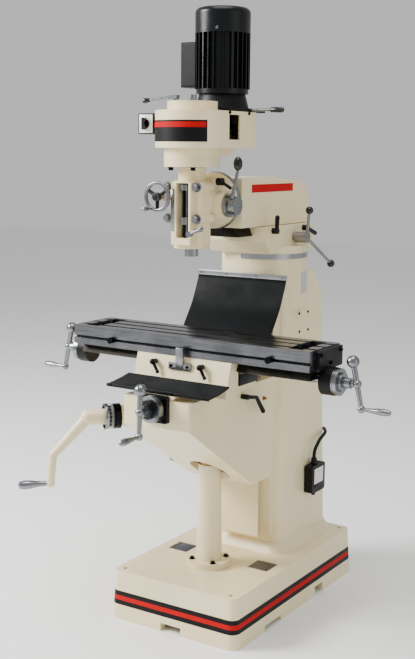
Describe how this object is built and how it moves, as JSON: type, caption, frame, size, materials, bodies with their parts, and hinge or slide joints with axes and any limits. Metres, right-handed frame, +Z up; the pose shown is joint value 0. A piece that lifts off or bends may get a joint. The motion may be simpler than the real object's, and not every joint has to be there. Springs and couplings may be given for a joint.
{
  "type": "vertical milling machine",
  "caption": "Knee-type vertical milling machine with swivelling turret, sliding ram, tilting belt-driven head, quill, cross table and hand cranks.",
  "frame": {"origin": "centre of the four anchor-bolt holes in the plane of the floor, under the base", "axes": "+Z up, +X to the operator's right, -Y towards the operator"},
  "size_m": [1.3704, 1.147, 2.042],
  "materials": {
    "cream_paint": "semi-gloss machine enamel",
    "black_paint": "semi-gloss black enamel",
    "ground_iron": "ground and scraped ways",
    "steel": "turned steel",
    "chrome": "polished chrome plate",
    "black_plastic": "moulded phenolic",
    "black_rubber": "moulded rubber",
    "bronze": "cast bronze",
    "pulley_alloy": "machined"
  },
  "bodies": {
    "machine": {"base": "cream_paint", "column": "cream_paint", "pedestal": "cream_paint", "elevating_nut": "bronze", "switch_box": "black_paint", "switch_lead": "black_rubber", "rear_cover": "black_rubber"},
    "knee": {"knee": "cream_paint", "cross_bracket": "black_paint", "front_cover": "black_rubber"},
    "knee_crank": {"knee_shaft": "steel", "knee_dial": "chrome", "knee_crank": "cream_paint"},
    "knee_grip": {"knee_grip": "chrome"},
    "elevating_screw": {"elevating_screw": "steel"},
    "knee_lock": {"knee_lock_lever": "black_paint"},
    "saddle": {"saddle": "cream_paint", "feed_nuts": "bronze"},
    "cross_feed": {"cross_screw": "steel", "cross_dial": "chrome", "cross_crank": "chrome"},
    "table_lock_left": {"table_lock_left": "black_paint"},
    "table_lock_right": {"table_lock_right": "black_paint"},
    "table": {"table": "ground_iron", "end_brackets": "black_paint"},
    "table_feed": {"table_screw": "steel", "table_dials": "chrome", "table_cranks": "chrome"},
    "stop_left": {"stop_left": "steel"},
    "stop_right": {"stop_right": "steel"},
    "turret": {"turret": "cream_paint"},
    "ram": {"ram": "cream_paint", "ram_adapter": "black_paint"},
    "ram_pinion": {"ram_pinion_lever": "steel"},
    "ram_lock_front": {"ram_lock_front": "black_paint"},
    "ram_lock_rear": {"ram_lock_rear": "black_paint"},
    "head": {"head_casting": "cream_paint", "gear_housing": "cream_paint", "belt_housing": "cream_paint", "head_switch": "black_paint", "depth_screw": "steel", "drive_belt": "black_rubber"},
    "switch_knob": {"switch_knob": "black_plastic"},
    "brake_lever": {"brake_lever": "black_paint"},
    "feed_lever": {"feed_lever": "chrome"},
    "fine_feed_wheel": {"fine_feed_wheel": "chrome"},
    "depth_nut": {"depth_nut": "steel"},
    "quill_lock": {"quill_lock_lever": "black_paint"},
    "feed_selector": {"feed_selector": "black_paint"},
    "quill": {"quill": "steel", "quill_stop": "steel"},
    "spindle": {"spindle": "steel", "drawbar": "steel"},
    "spindle_pulley": {"spindle_pulley": "pulley_alloy"},
    "motor": {"motor_mount": "black_paint", "motor_body": "black_paint", "fan_cover": "black_paint", "terminal_box": "black_paint"},
    "motor_pulley": {"motor_pulley": "pulley_alloy"},
    "motor_clamp": {"motor_clamp": "steel"}
  },
  "joints": [
    {"name": "knee_lift", "type": "slide", "parent": "machine", "child": "knee", "axis": [0, 0, 1], "range_m": [-0.13, 0.23]},
    {"name": "knee_crank_spin", "type": "hinge", "parent": "knee", "child": "knee_crank", "pos_m": [0, -0.195, 0.715], "axis": [-0.6561, -0.7547, 0], "range_deg": [-33110, 18710]},
    {"name": "knee_grip_spin", "type": "hinge", "parent": "knee_crank", "child": "knee_grip", "pos_m": [-0.35821, -0.60707, 0.501], "axis": [-0.6561, -0.7547, 0], "continuous": true},
    {"name": "elevating_screw_spin", "type": "hinge", "parent": "knee", "child": "elevating_screw", "pos_m": [0, -0.195, 0.743], "axis": [0, 0, 1], "range_deg": [-9400, 16600]},
    {"name": "knee_lock_swing", "type": "hinge", "parent": "knee", "child": "knee_lock", "pos_m": [0.1295, -0.205, 0.782], "axis": [1, 0, 0], "range_deg": [-20, 20]},
    {"name": "cross_slide", "type": "slide", "parent": "knee", "child": "saddle", "axis": [0, 1, 0], "range_m": [-0.115, 0.105], "deforming": ["front_cover", "rear_cover"]},
    {"name": "cross_crank_spin", "type": "hinge", "parent": "knee", "child": "cross_feed", "pos_m": [0.008, -0.52, 0.79], "axis": [0, 1, 0], "range_deg": [-8270, 7550]},
    {"name": "table_lock_left_swing", "type": "hinge", "parent": "saddle", "child": "table_lock_left", "pos_m": [-0.101, -0.371, 0.903], "axis": [0, 1, 0], "range_deg": [-30, 30]},
    {"name": "table_lock_right_swing", "type": "hinge", "parent": "saddle", "child": "table_lock_right", "pos_m": [0.082, -0.371, 0.903], "axis": [0, 1, 0], "range_deg": [-30, 30]},
    {"name": "table_slide", "type": "slide", "parent": "saddle", "child": "table", "axis": [1, 0, 0], "range_m": [-0.28, 0.28]},
    {"name": "table_crank_spin", "type": "hinge", "parent": "table", "child": "table_feed", "pos_m": [0, -0.256, 0.886], "axis": [1, 0, 0], "range_deg": [-20150, 20150]},
    {"name": "stop_left_slide", "type": "slide", "parent": "table", "child": "stop_left", "axis": [1, 0, 0], "range_m": [-0.1, 0.2]},
    {"name": "stop_right_slide", "type": "slide", "parent": "table", "child": "stop_right", "axis": [1, 0, 0], "range_m": [-0.2, 0.08]},
    {"name": "turret_swivel", "type": "hinge", "parent": "machine", "child": "turret", "pos_m": [0, 0.156, 1.213], "axis": [0, 0, 1], "range_deg": [-180, 180]},
    {"name": "ram_slide", "type": "slide", "parent": "turret", "child": "ram", "axis": [0, 1, 0], "range_m": [-0.18, 0.065]},
    {"name": "ram_pinion_spin", "type": "hinge", "parent": "turret", "child": "ram_pinion", "pos_m": [0.118, 0.156, 1.289], "axis": [1, 0, 0], "range_deg": [-315, 865]},
    {"name": "ram_lock_front_swing", "type": "hinge", "parent": "turret", "child": "ram_lock_front", "pos_m": [0.1185, 0.002, 1.318], "axis": [1, 0, 0], "range_deg": [-20, 20]},
    {"name": "ram_lock_rear_swing", "type": "hinge", "parent": "turret", "child": "ram_lock_rear", "pos_m": [0.1185, 0.222, 1.318], "axis": [1, 0, 0], "range_deg": [-20, 20]},
    {"name": "head_swivel", "type": "hinge", "parent": "ram", "child": "head", "pos_m": [0, -0.184, 1.424], "axis": [0, 1, 0], "range_deg": [-90, 90]},
    {"name": "switch_knob_turn", "type": "hinge", "parent": "head", "child": "switch_knob", "pos_m": [-0.162, -0.3455, 1.669], "axis": [0, 1, 0], "range_deg": [-60, 60]},
    {"name": "brake_lever_swing", "type": "hinge", "parent": "head", "child": "brake_lever", "pos_m": [-0.03, -0.37, 1.7385], "axis": [0, 0, 1], "range_deg": [-20, 20]},
    {"name": "quill_slide", "type": "slide", "parent": "head", "child": "quill", "axis": [0, 0, -1], "range_m": [0, 0.083], "stiffness_N_per_m": 350, "springref_m": -0.6},
    {"name": "feed_lever_turn", "type": "hinge", "parent": "head", "child": "feed_lever", "pos_m": [0.097, -0.255, 1.413], "axis": [1, 0, 0], "range_deg": [0, 242]},
    {"name": "fine_feed_turn", "type": "hinge", "parent": "head", "child": "fine_feed_wheel", "pos_m": [-0.066, -0.41, 1.44], "axis": [0, 1, 0], "continuous": true},
    {"name": "depth_nut_slide", "type": "slide", "parent": "head", "child": "depth_nut", "axis": [0, 0, 1], "range_m": [-0.03, 0.082]},
    {"name": "quill_lock_swing", "type": "hinge", "parent": "head", "child": "quill_lock", "pos_m": [0.046, -0.3905, 1.326], "axis": [0, 1, 0], "range_deg": [-30, 30]},
    {"name": "feed_selector_swing", "type": "hinge", "parent": "head", "child": "feed_selector", "pos_m": [0.0705, -0.277, 1.488], "axis": [1, 0, 0], "range_deg": [-20, 20]},
    {"name": "spindle_spin", "type": "hinge", "parent": "quill", "child": "spindle", "pos_m": [0, -0.318, 1.249], "axis": [0, 0, 1], "continuous": true},
    {"name": "spindle_pulley_spin", "type": "hinge", "parent": "head", "child": "spindle_pulley", "pos_m": [0, -0.318, 1.612], "axis": [0, 0, 1], "continuous": true},
    {"name": "motor_tension", "type": "slide", "parent": "head", "child": "motor", "axis": [0, 1, 0], "range_m": [-0.008, 0], "deforming": ["drive_belt"]},
    {"name": "motor_spin", "type": "hinge", "parent": "motor", "child": "motor_pulley", "pos_m": [0, -0.142, 1.612], "axis": [0, 0, 1], "continuous": true},
    {"name": "motor_clamp_turn", "type": "hinge", "parent": "motor", "child": "motor_clamp", "pos_m": [0.112, -0.142, 1.716], "axis": [1, 0, 0], "range_deg": [-90, 90]}
  ],
  "couplings": [
    {"joint": "knee_crank_spin", "follows": "knee_lift", "rad_per_m": -2513.3},
    {"joint": "elevating_screw_spin", "follows": "knee_lift", "rad_per_m": 1256.6},
    {"joint": "cross_crank_spin", "follows": "cross_slide", "rad_per_m": 1256.6},
    {"joint": "table_crank_spin", "follows": "table_slide", "rad_per_m": 1256.6},
    {"joint": "ram_pinion_spin", "follows": "ram_slide", "rad_per_m": -83.333},
    {"joint": "feed_lever_turn", "follows": "quill_slide", "rad_per_m": 50.761},
    {"joint": "spindle_spin", "follows": "motor_spin", "ratio": 0.65625},
    {"joint": "spindle_pulley_spin", "follows": "motor_spin", "ratio": 0.65625}
  ]
}
